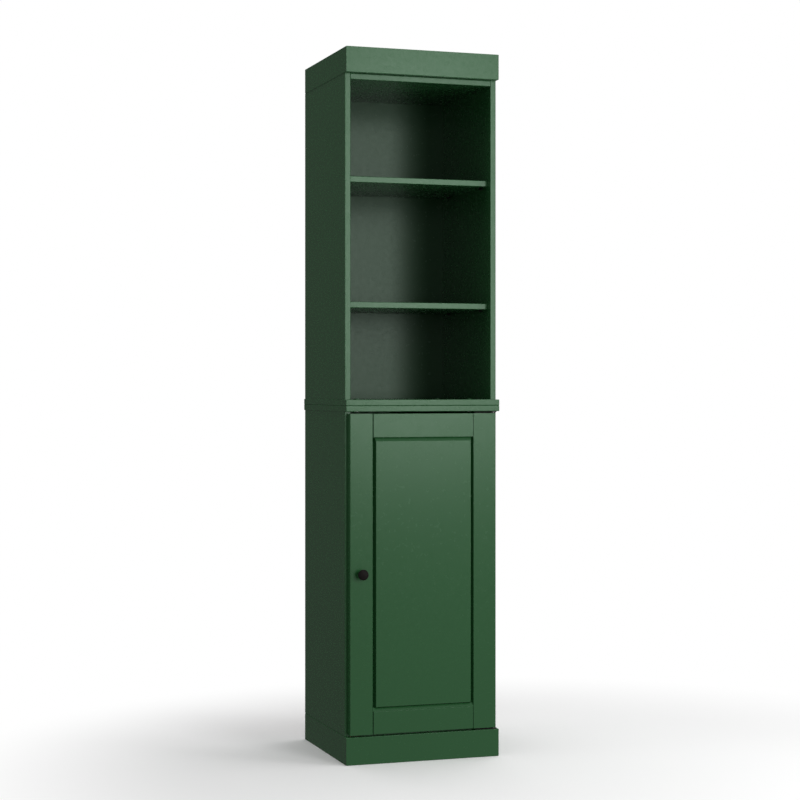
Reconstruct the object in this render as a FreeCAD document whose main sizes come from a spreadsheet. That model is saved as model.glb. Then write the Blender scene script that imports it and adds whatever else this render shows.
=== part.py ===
import FreeCAD, Part
import os
import re

import Sketcher
from FreeCAD import Placement, Rotation, Vector

# Tall two-piece bathroom cabinet: a base unit with one framed door, an open shelf unit on top of it,
# a plinth below and a box crown above. +X is the viewer's right, +Y the wall side, +Z up. The origin
# is on the floor, under the middle of the whole outline, knob included.

doc = FreeCAD.newDocument("bathroom_cabinet")
sheet = doc.addObject("Spreadsheet::Sheet", "Sizes")

SIZES = [
    # Carcass
    ("body_width", "406", "outside of the side panels"),
    ("body_depth", "368", "front edge to rear edge of the side panels"),
    ("base_unit_height", "900", "floor to the top of the base unit"),
    ("upper_unit_height", "900", "shelf unit with its crown"),
    ("board", "15", "carcass boards"),
    ("edge_ease", "1", "eased edges of the boards"),
    ("back_thick", "4", "hardboard backs"),
    ("back_recess", "2", "backs lie this far inside the rear edges"),
    ("rebate", "8", "how far a back reaches into each side panel"),
    ("hole_play", "0.05", "play around every fastener and loose fit"),
    # Plinth, crown and the double board between the two units
    ("frame_board", "15", "plinth and crown boards"),
    ("plinth_height", "70", "floor to the base carcass"),
    ("plinth_front_proud", "17", "plinth in front of the carcass"),
    ("plinth_side_proud", "1.5", "plinth beside the carcass"),
    ("crown_height", "65", "upper carcass to the top"),
    ("crown_front_proud", "17", "crown in front of the carcass"),
    ("crown_side_proud", "1.5", "crown beside the carcass"),
    ("rear_setback", "5", "plinth and crown end this far before the wall side"),
    ("band_front_proud", "19.5", "double board in front of the carcass"),
    ("band_side_proud", "2.5", "double board beside the carcass"),
    ("block_side", "30", "square corner blocks"),
    ("block_height", "35", "plinth corner blocks"),
    ("block_bite", "10", "plinth block screws into the bottom panel"),
    ("block_screw_radius", "2", "corner block screws"),
    ("block_head_radius", "4", "their sunk heads"),
    ("block_head_height", "2.5", "their sunk heads"),
    # Shelves
    ("shelf_gap", "0.5", "play at the ends and rear of a shelf"),
    ("shelf_setback", "20", "open shelves behind the carcass front"),
    ("low_shelf_rise", "232", "upper floor to the low shelf"),
    ("high_shelf_rise", "549", "upper floor to the high shelf"),
    ("base_shelf_setback", "40", "shelf behind the door"),
    ("base_shelf_rise", "392", "base floor to its shelf"),
    ("pin_inset", "60", "shelf pins from the front and the back"),
    ("pin_pitch", "32", "base shelf to the spare pin holes above and below it"),
    ("pin_radius", "2.5", "shelf pins"),
    ("pin_reach", "9", "shelf pin out of the side panel"),
    ("pin_cap", "6", "wood left behind a pin hole"),
    # Knock-down fittings and screws
    ("joint_inset", "60", "outer fitting of a joint from front and back"),
    ("dowel_pitch", "32", "fitting to dowel"),
    ("dowel_radius", "4", "beech dowels"),
    ("dowel_in_panel", "19", "dowel in the end of a panel"),
    ("dowel_cap", "4", "wood left behind a dowel or a cam bolt"),
    ("cam_radius", "7.5", "cam discs"),
    ("cam_inset", "24", "cam disc from the end of its panel"),
    ("cam_cap", "2.5", "wood left behind a cam disc"),
    ("cam_bolt_radius", "3", "cam bolt in the panel"),
    ("cam_thread_radius", "2.5", "cam bolt in the side panel"),
    ("carcass_screw_radius", "3.5", "long carcass screws"),
    ("carcass_screw_length", "50", "long carcass screws"),
    ("carcass_head_radius", "5", "their sunk heads"),
    ("carcass_head_height", "3.5", "their sunk heads"),
    ("screw_stagger", "26", "upper carcass screws behind the lower ones"),
    ("joining_inset", "35", "bolts between the units, from the side panels"),
    ("joining_bolt_radius", "3", "bolts between the units"),
    ("joining_sleeve_radius", "4", "their sleeve nuts"),
    ("joining_head_radius", "7", "heads of bolts and sleeves"),
    ("joining_head_height", "2", "heads of bolts and sleeves"),
    ("nail_radius", "1", "back panel nails"),
    ("nail_bite", "14", "nail behind the back panel"),
    ("nail_head_radius", "2.5", "nail heads"),
    ("nail_head_height", "1", "nail heads"),
    ("nail_spread", "120", "nails in the sides, from their ends"),
    ("nail_pitch", "100", "nails in a row across the back"),
    ("rail_height", "60", "wall rail inside the base unit"),
    ("wall_pitch", "200", "two wall screw holes"),
    ("wall_hole_radius", "2.75", "two wall screw holes"),
    ("wall_play", "1", "wider holes in the back panel behind them"),
    # Door
    ("door_inset", "8", "door inside the outer face of each side panel"),
    ("door_gap", "1.5", "door behind face to the carcass front"),
    ("door_clear", "5", "door to the plinth and to the double board"),
    ("door_thick", "18", "frame of the door"),
    ("stile_width", "59.5", "face of a stile"),
    ("top_rail_width", "58.5", "face of the top rail"),
    ("bottom_rail_width", "57.5", "face of the bottom rail"),
    ("channel_side", "8.5", "open channel between a stile and the raised field of the panel"),
    ("channel_end", "10.5", "open channel between a rail and the raised field of the panel"),
    ("channel_depth", "10", "face of the door to the floor of the channel"),
    ("tongue_thick", "4", "rim of the panel, which is the floor of the channel"),
    ("groove_reach", "8", "panel groove into the frame, filled by the rails' tenons at its ends"),
    ("panel_play", "1", "rim and tenons to the bottom of their groove"),
    ("seam_gap", "2.2", "open seam between rail and stile"),
    ("seam_depth", "4", "open seam between rail and stile"),
    ("bumper_radius", "3", "door bumpers"),
    ("bumper_inset", "40", "bumpers from the ends of the door"),
    ("bumper_play", "0.1", "bumper to the side panel"),
    # Knob
    ("knob_reach", "24", "knob in front of the door"),
    ("knob_head_radius", "13.5", "widest part"),
    ("knob_rim", "2", "straight edge of the head"),
    ("knob_stem_radius", "6", "stem on the door"),
    ("knob_dome", "8", "rounding of the front"),
    ("knob_screw_radius", "2", "screw from inside the door"),
    ("knob_screw_bite", "10", "screw in the knob"),
    ("knob_screw_head_radius", "4", "pan head"),
    ("knob_screw_head_height", "2.4", "pan head"),
    # Knife hinges in the gaps above and below the door
    ("pivot_inset", "4", "hinge axis from the edge of the door"),
    ("leaf_width", "8", "hinge leaves"),
    ("leaf_length", "50", "hinge leaves, from the axis"),
    ("leaf_thick", "2.1", "hinge leaves"),
    ("hinge_play", "0.1", "washer to the leaves"),
    ("hinge_pin_radius", "2", "hinge pins"),
    ("washer_radius", "3.8", "washers between the leaves"),
    ("washer_eye", "2.3", "hole of the washers, across its corners"),
    ("stop_radius", "1.5", "stop lug on the fixed leaf"),
    ("stop_play", "0.3", "lug and pin to the end of the door"),
    ("stop_angle", "112", "opening angle at which the lug would stop the door"),
    ("leaf_screw_start", "15", "first screw from the axis"),
    ("leaf_screw_pitch", "24", "first screw to second"),
    ("leaf_screw_offset", "6", "door leaf screws from the fixed leaf's"),
    ("small_screw_radius", "1.5", "hinge and catch screws"),
    ("small_screw_length", "13", "hinge and catch screws"),
    ("small_head_radius", "3", "their sunk heads"),
    ("small_head_height", "1.6", "their sunk heads"),
    # Magnetic catch
    ("catch_height", "640", "middle of the catch above the floor"),
    ("catch_length", "44", "housing, up the side panel"),
    ("catch_width", "14", "housing, out from the side panel"),
    ("catch_depth", "22", "housing, front to back"),
    ("catch_screw_pitch", "32", "two housing screws"),
    ("magnet_length", "20", "magnet in the front of the housing"),
    ("magnet_width", "8", "magnet in the front of the housing"),
    ("magnet_depth", "9", "magnet in the front of the housing"),
    ("strike_thick", "1.1", "steel strike plate on the door"),
    ("strike_length", "34", "steel strike plate on the door"),
    ("strike_width", "12", "steel strike plate on the door"),
]
for row, (alias, value, note) in enumerate(SIZES, 1):
    sheet.set(f"A{row}", alias)
    sheet.set(f"B{row}", value)
    sheet.set(f"C{row}", note)
    sheet.setAlias(f"B{row}", alias)
doc.recompute()

ALIASES = {alias for alias, value, note in SIZES}

# Places that several pieces share, as expressions of the driving sizes
half = "(body_width / 2)"
inner_half = "(body_width / 2 - board)"
front = "((door_gap + door_thick + knob_reach - body_depth) / 2)"
rear = f"({front} + body_depth)"
back_front = f"({rear} - back_recess - back_thick)"
back_rear = f"({rear} - back_recess)"
base_floor = "(plinth_height + board)"
base_ceiling = "(base_unit_height - board)"
upper_floor = "(base_unit_height + board)"
top = "(base_unit_height + upper_unit_height)"
crown_z = f"({top} - crown_height)"
upper_ceiling = f"({crown_z} - board)"
fitting_rows = (f"{front} + joint_inset", f"{back_front} - joint_inset")
dowel_rows = (f"{front} + joint_inset + dowel_pitch", f"{back_front} - joint_inset - dowel_pitch")
pin_rows = (f"{front} + pin_inset", f"{back_front} - pin_inset")

door_back = f"({front} - door_gap)"
door_face = f"({front} - door_gap - door_thick)"
door_half = f"({half} - door_inset)"
door_bottom = "(plinth_height + door_clear)"
door_top = f"({base_ceiling} - door_clear)"

TURNS = {
    "+z": Rotation(),
    "-z": Rotation(Vector(1, 0, 0), 180),
    "+x": Rotation(Vector(0, 1, 0), 90),
    "-x": Rotation(Vector(0, 1, 0), -90),
    "+y": Rotation(Vector(1, 0, 0), -90),
    "-y": Rotation(Vector(1, 0, 0), 90),
}
SIDES = (("left", "-"), ("right", ""))
NEAR = 1e-4

nodes = []
holes = {}
fasteners = {}


def sized(text):
    """The expression with each size's name led by its sheet."""
    return re.sub(r"[a-z_]+", lambda m: f"Sizes.{m[0]}" if m[0] in ALIASES else m[0], text)


def bind(obj, **terms):
    for name, text in terms.items():
        obj.setExpression(name, sized(text))


def place(obj, at, turn=Rotation()):
    obj.Placement = Placement(Vector(), turn)
    for axis, text in zip("xyz", at):
        obj.setExpression(f"Placement.Base.{axis}", sized(text))


def shift(at, along, distance):
    """A point moved by a distance along a direction such as +x."""
    moved = list(at)
    axis = "xyz".index(along[1])
    moved[axis] = f"{at[axis]} {along[0]} ({distance})"
    return tuple(moved)


def opposite(along):
    return ("-" if along[0] == "+" else "+") + along[1]


def keep(obj):
    """Note a finished sub-part, which is written to a file under its label."""
    nodes.append(obj)
    return obj


def box(label, low, high):
    """A rectangular solid between two corners."""
    solid = doc.addObject("Part::Box", label)
    bind(
        solid,
        Length=f"({high[0]}) - ({low[0]})",
        Width=f"({high[1]}) - ({low[1]})",
        Height=f"({high[2]}) - ({low[2]})",
    )
    place(solid, low)
    return solid


def rod(label, radius, length, at, along):
    solid = doc.addObject("Part::Cylinder", label)
    bind(solid, Radius=radius, Height=length)
    place(solid, at, TURNS[along])
    return solid


def bar(label, radius, length, at, along):
    """An eight-sided rod, for the many small fasteners and their holes."""
    solid = doc.addObject("Part::Prism", label)
    solid.Polygon = 8
    bind(solid, Circumradius=radius, Height=length)
    place(solid, at, TURNS[along])
    return solid


def fuse(label, pieces):
    solid = doc.addObject("Part::MultiFuse", label)
    solid.Shapes = pieces
    return solid


def group(label, pieces):
    solids = doc.addObject("Part::Compound", label)
    solids.Links = pieces
    return solids


def cut(label, blank, tools):
    solid = doc.addObject("Part::Cut", label)
    solid.Base = blank
    solid.Tool = tools[0] if len(tools) == 1 else group(label + "_cuts", tools)
    return solid


def soften(label, blank, pick):
    """Ease the edges of a box that pick chooses by their middle and the box's bounds."""
    doc.recompute()
    bounds = blank.Shape.BoundBox
    size = sheet.get("edge_ease")
    chosen = []
    for number, edge in enumerate(blank.Shape.Edges, 1):
        if pick(edge.CenterOfMass, bounds):
            chosen.append((number, size, size))
    solid = doc.addObject("Part::Chamfer", label)
    solid.Base = blank
    solid.Edges = chosen
    return solid


def upright_front_edges(middle, bounds):
    return abs(middle.y - bounds.YMin) < NEAR and abs(middle.z - bounds.Center.z) < NEAR


def long_front_edges(middle, bounds):
    return abs(middle.y - bounds.YMin) < NEAR and abs(middle.x - bounds.Center.x) < NEAR


def all_front_edges(middle, bounds):
    return abs(middle.y - bounds.YMin) < NEAR


def all_but_rear_edges(middle, bounds):
    return abs(middle.y - bounds.YMax) > NEAR


def drill(board, radius, length, at, along, make=bar):
    """Add a hole to the cuts of a board."""
    cuts = holes.setdefault(board, [])
    cuts.append(make(f"{board}_hole_{len(cuts)}", radius, length, at, along))


def fasten(kind, pieces):
    """Add one fastener, made of touching solids, to the group of its kind."""
    members = fasteners.setdefault(kind, [])
    label = f"{kind}_{len(members)}"
    members.append(pieces[0] if len(pieces) == 1 else fuse(label, pieces))


def screw(kind, prefix, length, at, along):
    """A screw with a sunk head, whose sizes are the sheet's for that prefix."""
    label = f"{kind}_{len(fasteners.get(kind, []))}"
    radius = f"{prefix}_screw_radius"
    head = f"{prefix}_head_height"
    seat = shift(at, along, head)
    parts = [
        bar(label + "_head", f"{prefix}_head_radius", head, at, along),
        bar(label + "_shank", radius, f"{length} - {head}", seat, along),
    ]
    fasten(kind, parts)


def screw_hole(board, prefix, length, at, along):
    """The seat and shank hole of such a screw in the board under its head."""
    head = f"{prefix}_head_height"
    drill(board, f"{prefix}_head_radius + hole_play", head, at, along)
    drill(board, f"{prefix}_screw_radius + hole_play", f"{length} - {head}", shift(at, along, head), along)


def outline(body, role, corners):
    """A closed outline of straight lines on one of the body's own planes."""
    sketch = body.newObject("Sketcher::SketchObject", body.Label + "_outline")
    plane = [feature for feature in body.Origin.OriginFeatures if feature.Role == role]
    sketch.AttachmentSupport = [(plane[0], "")]
    sketch.MapMode = "FlatFace"
    count = len(corners)
    starts = [Vector(index, index * index, 0) for index in range(count)]
    for index in range(count):
        sketch.addGeometry(Part.LineSegment(starts[index], starts[(index + 1) % count]))
    for index in range(count):
        sketch.addConstraint(Sketcher.Constraint("Coincident", index, 2, (index + 1) % count, 1))
    for index, corner in enumerate(corners):
        for kind, text in zip(("DistanceX", "DistanceY"), corner):
            number = sketch.addConstraint(Sketcher.Constraint(kind, -1, 1, index, 1, 1.0))
            sketch.setExpression(f"Constraints[{number}]", sized(text))
    return sketch


def extruded(label, role, corners, length, at=("0", "0", "0")):
    body = doc.addObject("PartDesign::Body", label)
    pad = body.newObject("PartDesign::Pad", label + "_pad")
    pad.Profile = outline(body, role, corners)
    bind(pad, Length=length)
    place(body, at)
    return body


def turned(label, corners, at, turn):
    """A solid of revolution about the outline's upright axis."""
    body = doc.addObject("PartDesign::Body", label)
    sketch = outline(body, "XY_Plane", corners)
    turning = body.newObject("PartDesign::Revolution", label + "_turning")
    turning.Profile = sketch
    turning.ReferenceAxis = (sketch, ["V_Axis"])
    turning.Angle = 360
    place(body, at, turn)
    return body


def eased(body, pick):
    """Ease the edges of a body that pick chooses by themselves and the body's bounds."""
    doc.recompute()
    tip = body.Tip
    names = []
    for number, edge in enumerate(tip.Shape.Edges, 1):
        if pick(edge, tip.Shape.BoundBox):
            names.append(f"Edge{number}")
    easing = body.newObject("PartDesign::Chamfer", body.Label + "_easing")
    easing.Base = (tip, names)
    bind(easing, Size="edge_ease")
    return body


def outer_rims(edge, bounds):
    """The long level edges of a mitred board, on its outer face."""
    middle = edge.CenterOfMass
    if bounds.XLength > bounds.YLength:
        return edge.Length > bounds.XLength - NEAR and abs(middle.y - bounds.YMin) < NEAR
    return edge.Length > bounds.YLength - NEAR


def mitred_frame(kind, front_label, side_proud, front_proud, low, height):
    """Front, left, right and back boards of the plinth or the crown, mitred at the front corners."""
    reach = f"({half} + {side_proud})"
    face = f"({front} - {front_proud})"
    end = f"({rear} - rear_setback)"
    inside = f"({reach} - frame_board)"
    behind = f"({face} + frame_board)"
    base = ("0", "0", low)
    corners = [(f"-{reach}", face), (reach, face), (inside, behind), (f"-{inside}", behind)]
    boards = [eased(extruded(front_label, "XY_Plane", corners, height, base), outer_rims)]
    for side, sign in SIDES:
        corners = [
            (f"{sign}{reach}", face),
            (f"{sign}{inside}", behind),
            (f"{sign}{inside}", end),
            (f"{sign}{reach}", end),
        ]
        boards.append(eased(extruded(f"{kind}_{side}", "XY_Plane", corners, height, base), outer_rims))
    boards.append(box(
        f"{kind}_back",
        (f"-{inside}", f"{end} - frame_board", low),
        (inside, end, f"{low} + {height}"),
    ))
    return boards, (inside, behind, f"({end} - frame_board)")


def corner_blocks(kind, corner, low, height):
    """Four blocks in the corners of a frame, each with the middle that its screw goes through."""
    inside, behind, before = corner
    blocks = []
    for side, sign in SIDES:
        edges = (f"{sign}{inside}", f"{sign}({inside} - block_side)")
        low_x, high_x = edges if sign else edges[::-1]
        for row, low_y in (("front", behind), ("rear", f"{before} - block_side")):
            name = f"{kind}_{side}_{row}_block"
            blank = box(
                name + "_blank",
                (low_x, low_y, low),
                (high_x, f"{low_y} + block_side", f"{low} + {height}"),
            )
            middle = (f"{sign}({inside} - block_side / 2)", f"{low_y} + block_side / 2")
            blocks.append((name, blank, middle))
    return blocks


# Plinth: four boards on the floor, a block in each corner screwed up into the bottom panel
block_screw_length = "(block_height + block_bite)"
block_hole_radius = "block_screw_radius + hole_play"
plinth_boards, plinth_corner = mitred_frame(
    "plinth", "plinth_front_blank", "plinth_side_proud", "plinth_front_proud", "0", "plinth_height"
)
plinth_front_blank = plinth_boards[0]
for plinth_board in plinth_boards[1:]:
    keep(plinth_board)
block_low = "(plinth_height - block_height)"
blocks = []
for name, blank, middle in corner_blocks("plinth", plinth_corner, block_low, "block_height"):
    head = (*middle, block_low)
    screw("block_screws", "block", block_screw_length, head, "+z")
    screw_hole(name, "block", "block_height", head, "+z")
    drill("base_bottom_panel", block_hole_radius, "block_bite", (*middle, "plinth_height"), "+z")
    blocks.append(cut(name, blank, holes[name]))
keep(group("plinth_corner_blocks", blocks))


def side_panel(label, sign, low, high):
    """A side panel with the rebate for its back; its holes are cut at the end."""
    edges = (f"{sign}{half}", f"{sign}{inner_half}")
    low_x, high_x = edges if sign else edges[::-1]
    panel = box(label + "_blank", (low_x, front, low), (high_x, rear, high))
    rebated = (f"{sign}({inner_half} + rebate)", f"{sign}{inner_half}")
    low_x, high_x = rebated if sign else rebated[::-1]
    holes.setdefault(label, []).append(box(label + "_rebate", (low_x, back_front, low), (high_x, rear, high)))
    return soften(label + "_eased", panel, upright_front_edges)


def cam_joints(panel, unit, face, inward):
    """Cam fittings and dowels between a panel and both side panels."""
    middle_z = f"{face} {inward[0]} board / 2"
    reach = "(cam_inset - cam_radius / 2)"
    for side, sign in SIDES:
        side_label = f"{unit}_{side}_side"
        to_panel = "+x" if sign else "-x"
        to_side = opposite(to_panel)
        end_x = f"{sign}{inner_half}"
        for y in fitting_rows:
            end = (end_x, y, middle_z)
            disc = (f"{sign}({inner_half} - cam_inset)", y, face)
            number = len(fasteners.get("cam_discs", []))
            bolt_way = "cam_bolt_radius + 2 * hole_play"
            holes.setdefault(panel, []).append(fuse(f"cam_seat_{number}", [
                bar(f"cam_seat_{number}_disc", "cam_radius + hole_play", "board - cam_cap", disc, inward),
                bar(f"cam_seat_{number}_bolt", bolt_way, "cam_inset", end, to_panel),
            ]))
            drill(side_label, "cam_thread_radius + hole_play", "board - dowel_cap", end, to_side)
            fasten("cam_bolts", [
                bar(f"cam_bolt_{number}_shank", "cam_bolt_radius", reach, end, to_panel),
                bar(f"cam_bolt_{number}_thread", "cam_thread_radius", "board - dowel_cap", end, to_side),
            ])
            blank = bar(f"cam_disc_{number}_blank", "cam_radius", "board - cam_cap - hole_play", disc, inward)
            slot = bar(
                f"cam_disc_{number}_slot",
                "cam_bolt_radius + hole_play",
                f"{reach} + hole_play",
                end,
                to_panel,
            )
            fasteners.setdefault("cam_discs", []).append(cut(f"cam_disc_{number}", blank, [slot]))
        for y in dowel_rows:
            end = (end_x, y, middle_z)
            start = shift(end, to_side, "board - dowel_cap")
            whole = "board - dowel_cap + dowel_in_panel"
            drill(panel, "dowel_radius + hole_play", "dowel_in_panel + hole_play", end, to_panel)
            drill(side_label, "dowel_radius + hole_play", "board - dowel_cap + hole_play", end, to_side)
            number = len(fasteners.get("wood_dowels", []))
            fasten("wood_dowels", [bar(f"wood_dowel_{number}", "dowel_radius", whole, start, to_panel)])


def pin_holes(unit, z):
    for side, sign in SIDES:
        for y in pin_rows:
            at = (f"{sign}{inner_half}", y, z)
            to_side = "-x" if sign else "+x"
            drill(f"{unit}_{side}_side", "pin_radius + hole_play", "board - pin_cap", at, to_side)


def shelf_on_pins(label, unit, setback, underside):
    """A loose shelf on four pins in the side panels."""
    blank = box(
        label,
        (f"-({inner_half} - shelf_gap)", f"{front} + {setback}", underside),
        (f"{inner_half} - shelf_gap", f"{back_front} - shelf_gap", f"{underside} + board"),
    )
    blank.Label = label + "_blank"
    pin_z = f"{underside} - pin_radius - hole_play"
    pin_holes(unit, pin_z)
    for side, sign in SIDES:
        to_side = "-x" if sign else "+x"
        for y in pin_rows:
            at = (f"{sign}{inner_half}", y, pin_z)
            number = len(fasteners.get("shelf_pins", []))
            whole = "board - pin_cap - hole_play + pin_reach"
            start = shift(at, opposite(to_side), "pin_reach")
            fasten("shelf_pins", [bar(f"shelf_pin_{number}", "pin_radius", whole, start, to_side)])
    shelf = soften(label + "_eased", blank, long_front_edges)
    shelf.Label = label
    return keep(shelf)


# Base unit: two side panels on the plinth, bottom panel between them, top board over them
base_sides = {}
for side, sign in SIDES:
    base_sides[side] = side_panel(f"base_{side}_side", sign, "plinth_height", base_ceiling)
base_bottom_blank = box(
    "base_bottom_blank",
    (f"-{inner_half}", front, "plinth_height"),
    (inner_half, back_front, base_floor),
)
cam_joints("base_bottom_panel", "base", "plinth_height", "+z")
base_pin_z = f"{base_floor} + base_shelf_rise - pin_radius - hole_play"
shelf_on_pins("base_shelf", "base", "base_shelf_setback", f"({base_floor} + base_shelf_rise)")
for step in ("- pin_pitch", "+ pin_pitch"):
    pin_holes("base", f"{base_pin_z} {step}")


def band_board(label, low):
    """One of the two overhanging boards where the units meet."""
    blank = box(
        label + "_blank",
        (f"-({half} + band_side_proud)", f"{front} - band_front_proud", low),
        (f"{half} + band_side_proud", rear, f"{low} + board"),
    )
    return soften(label + "_eased", blank, all_but_rear_edges)


base_top_blank = band_board("base_top_board", base_ceiling)
upper_bottom_blank = band_board("upper_bottom_board", "base_unit_height")

# Long screws hold each of those boards to the ends of its side panels, with heads where the units meet
screw_bite = "(carcass_screw_length - board)"
screw_hole_radius = "carcass_screw_radius + hole_play"
for side, sign in SIDES:
    screw_x = f"{sign}({half} - board / 2)"
    for y, step in zip(fitting_rows, ("+ screw_stagger", "- screw_stagger")):
        at = (screw_x, y, "base_unit_height")
        screw("carcass_screws", "carcass", "carcass_screw_length", at, "-z")
        screw_hole("base_top_board", "carcass", "board", at, "-z")
        drill(f"base_{side}_side", screw_hole_radius, screw_bite, (screw_x, y, base_ceiling), "-z")
        y = f"{y} {step}"
        at = (screw_x, y, "base_unit_height")
        screw("carcass_screws", "carcass", "carcass_screw_length", at, "+z")
        screw_hole("upper_bottom_board", "carcass", "board", at, "+z")
        drill(f"upper_{side}_side", screw_hole_radius, screw_bite, (screw_x, y, upper_floor), "+z")

# Bolts in sleeve nuts clamp the two boards to each other
for side, sign in SIDES:
    for y in fitting_rows:
        bolt_x = f"{sign}({inner_half} - joining_inset)"
        head = (bolt_x, y, upper_floor)
        foot = (bolt_x, y, base_ceiling)
        name = f"joining_{len(fasteners.get('joining_bolts', []))}"
        sleeve = "joining_sleeve_radius"
        for label, low in (("upper_bottom_board", "base_unit_height"), ("base_top_board", base_ceiling)):
            drill(label, f"{sleeve} + hole_play", "board", (bolt_x, y, low), "+z")
        fasten("joining_bolts", [
            bar(name + "_bolt_head", "joining_head_radius", "joining_head_height", head, "+z"),
            bar(name + "_bolt_shank", "joining_bolt_radius", "2 * board", head, "-z"),
        ])
        tube = fuse(name + "_sleeve_blank", [
            bar(name + "_sleeve_head", "joining_head_radius", "joining_head_height", foot, "-z"),
            bar(name + "_sleeve_tube", sleeve, "2 * board - hole_play", foot, "+z"),
        ])
        bore = bar(name + "_sleeve_bore", "joining_bolt_radius + hole_play", "2 * board", foot, "+z")
        fasteners.setdefault("joining_sleeves", []).append(cut(name + "_sleeve", tube, [bore]))

# Wall rail under the base unit's top, with two holes for wall screws
wall_rail_blank = box(
    "wall_rail_blank",
    (f"-{inner_half}", f"{back_front} - board", f"{base_ceiling} - rail_height"),
    (inner_half, back_front, base_ceiling),
)
for sign in ("-", ""):
    at = (f"{sign}wall_pitch / 2", f"{back_front} - board", f"{base_ceiling} - rail_height / 2")
    drill("wall_rail", "wall_hole_radius", "board", at, "+y", rod)
    drill("base_back_panel", "wall_hole_radius + wall_play", "back_thick", shift(at, "+y", "board"), "+y")


def back_panel(label, low, high):
    reach = f"({inner_half} + rebate - hole_play)"
    return box(label + "_blank", (f"-{reach}", back_front, low), (reach, back_rear, high))


def nail(panel, carrier, x, z):
    """A nail through a back into the edge of what carries it."""
    name = f"back_nail_{len(fasteners.get('back_nails', []))}"
    at = (x, back_rear, z)
    seat = (x, back_front, z)
    drill(panel, "nail_radius + hole_play", "back_thick", at, "-y")
    drill(carrier, "nail_radius + hole_play", "nail_bite", seat, "-y")
    fasten("back_nails", [
        bar(name + "_head", "nail_head_radius", "nail_head_height", at, "+y"),
        bar(name + "_shank", "nail_radius", "back_thick + nail_bite", at, "-y"),
    ])


# Backs: thin hardboard in the rebates, nailed to the side panels and the wall rail
base_back_blank = back_panel("base_back_panel", "plinth_height", base_ceiling)
upper_back_blank = back_panel("upper_back_panel", upper_floor, crown_z)
for side, sign in SIDES:
    nail_x = f"{sign}({inner_half} + rebate / 2)"
    nail("base_back_panel", f"base_{side}_side", nail_x, "plinth_height + nail_spread")
    nail("base_back_panel", f"base_{side}_side", nail_x, f"{base_ceiling} - nail_spread")
    nail("upper_back_panel", f"upper_{side}_side", nail_x, f"{upper_floor} + nail_spread")
    nail("upper_back_panel", f"upper_{side}_side", nail_x, f"{crown_z} - nail_spread")
    nail("base_back_panel", "wall_rail", f"{sign}nail_pitch / 2", f"{base_ceiling} - rail_height / 2")

# Upper unit: side panels on the double board, top panel between them, two loose shelves
upper_sides = {}
for side, sign in SIDES:
    upper_sides[side] = side_panel(f"upper_{side}_side", sign, upper_floor, crown_z)
upper_top_blank = soften(
    "upper_top_eased",
    box("upper_top_blank", (f"-{inner_half}", front, upper_ceiling), (inner_half, back_front, crown_z)),
    long_front_edges,
)
cam_joints("upper_top_panel", "upper", crown_z, "-z")
shelf_on_pins("upper_shelf_low", "upper", "shelf_setback", f"({upper_floor} + low_shelf_rise)")
shelf_on_pins("upper_shelf_high", "upper", "shelf_setback", f"({upper_floor} + high_shelf_rise)")

# Crown: four boards like the plinth's, a lid between them on blocks screwed on from below
crown_boards, crown_corner = mitred_frame(
    "crown", "crown_front", "crown_side_proud", "crown_front_proud", crown_z, "crown_height"
)
for crown_board in crown_boards:
    keep(crown_board)
blocks = []
for name, blank, middle in corner_blocks("crown", crown_corner, crown_z, "(crown_height - board)"):
    head = (*middle, upper_ceiling)
    screw("block_screws", "block", block_screw_length, head, "+z")
    screw_hole("upper_top_panel", "block", "board", head, "+z")
    drill(name, block_hole_radius, f"{block_screw_length} - board", (*middle, crown_z), "+z")
    blocks.append(cut(name, blank, holes[name]))
keep(group("crown_corner_blocks", blocks))
crown_inside, crown_behind, crown_before = crown_corner
keep(box(
    "crown_lid",
    (f"-{crown_inside}", crown_behind, f"{top} - board"),
    (crown_inside, crown_before, top),
))

# Door frame: rails between grooved stiles, held by stub tenons in the grooves
groove_back = "(channel_depth + tongue_thick + 2 * hole_play)"


def frame_profile(width):
    """Cross-section of a door frame member, as distance from its outer edge and depth from the face."""
    groove_floor = f"({width} - groove_reach)"
    return [
        ("edge_ease", "0"),
        (f"{width} - edge_ease", "0"),
        (width, "edge_ease"),
        (width, "channel_depth"),
        (groove_floor, "channel_depth"),
        (groove_floor, groove_back),
        (width, groove_back),
        (width, "door_thick"),
        ("0", "door_thick"),
        ("0", "edge_ease"),
    ]


door_height = f"({door_top} - {door_bottom})"
stiles = {}
for side, sign in SIDES:
    inward = "+" if sign else "-"
    corners = [
        (f"{sign}{door_half} {inward} {across}", f"{door_face} + {depth}")
        for across, depth in frame_profile("stile_width")
    ]
    foot = ("0", "0", door_bottom)
    stiles[side] = extruded(f"door_{side}_stile_blank", "XY_Plane", corners, door_height, foot)

seam_x = f"({door_half} - stile_width)"
rim_x = f"({seam_x} + groove_reach - panel_play)"
for label, width, edge_z, inward in (
    ("door_top_rail", "top_rail_width", door_top, "-"),
    ("door_bottom_rail", "bottom_rail_width", door_bottom, "+"),
):
    corners = [
        (f"{door_face} + {depth}", f"{edge_z} {inward} {across}") for across, depth in frame_profile(width)
    ]
    rail = extruded(label + "_blank", "YZ_Plane", corners, f"2 * {rim_x}", (f"-{rim_x}", "0", "0"))
    low_z = f"{edge_z} - {width}" if inward == "-" else edge_z
    fitted = cut(label + "_fitted", rail, [stiles["left"], stiles["right"]])
    seams = []
    for side, sign in SIDES:
        ends = (f"{sign}({seam_x} - seam_gap)", f"{sign}({seam_x} + edge_ease)")
        near, far = reversed(ends) if sign else ends
        seams.append(box(
            f"{label}_{side}_seam",
            (near, door_face, low_z),
            (far, f"{door_face} + seam_depth", f"{low_z} + {width}"),
        ))
    keep(cut(label, fitted, seams))

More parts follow.
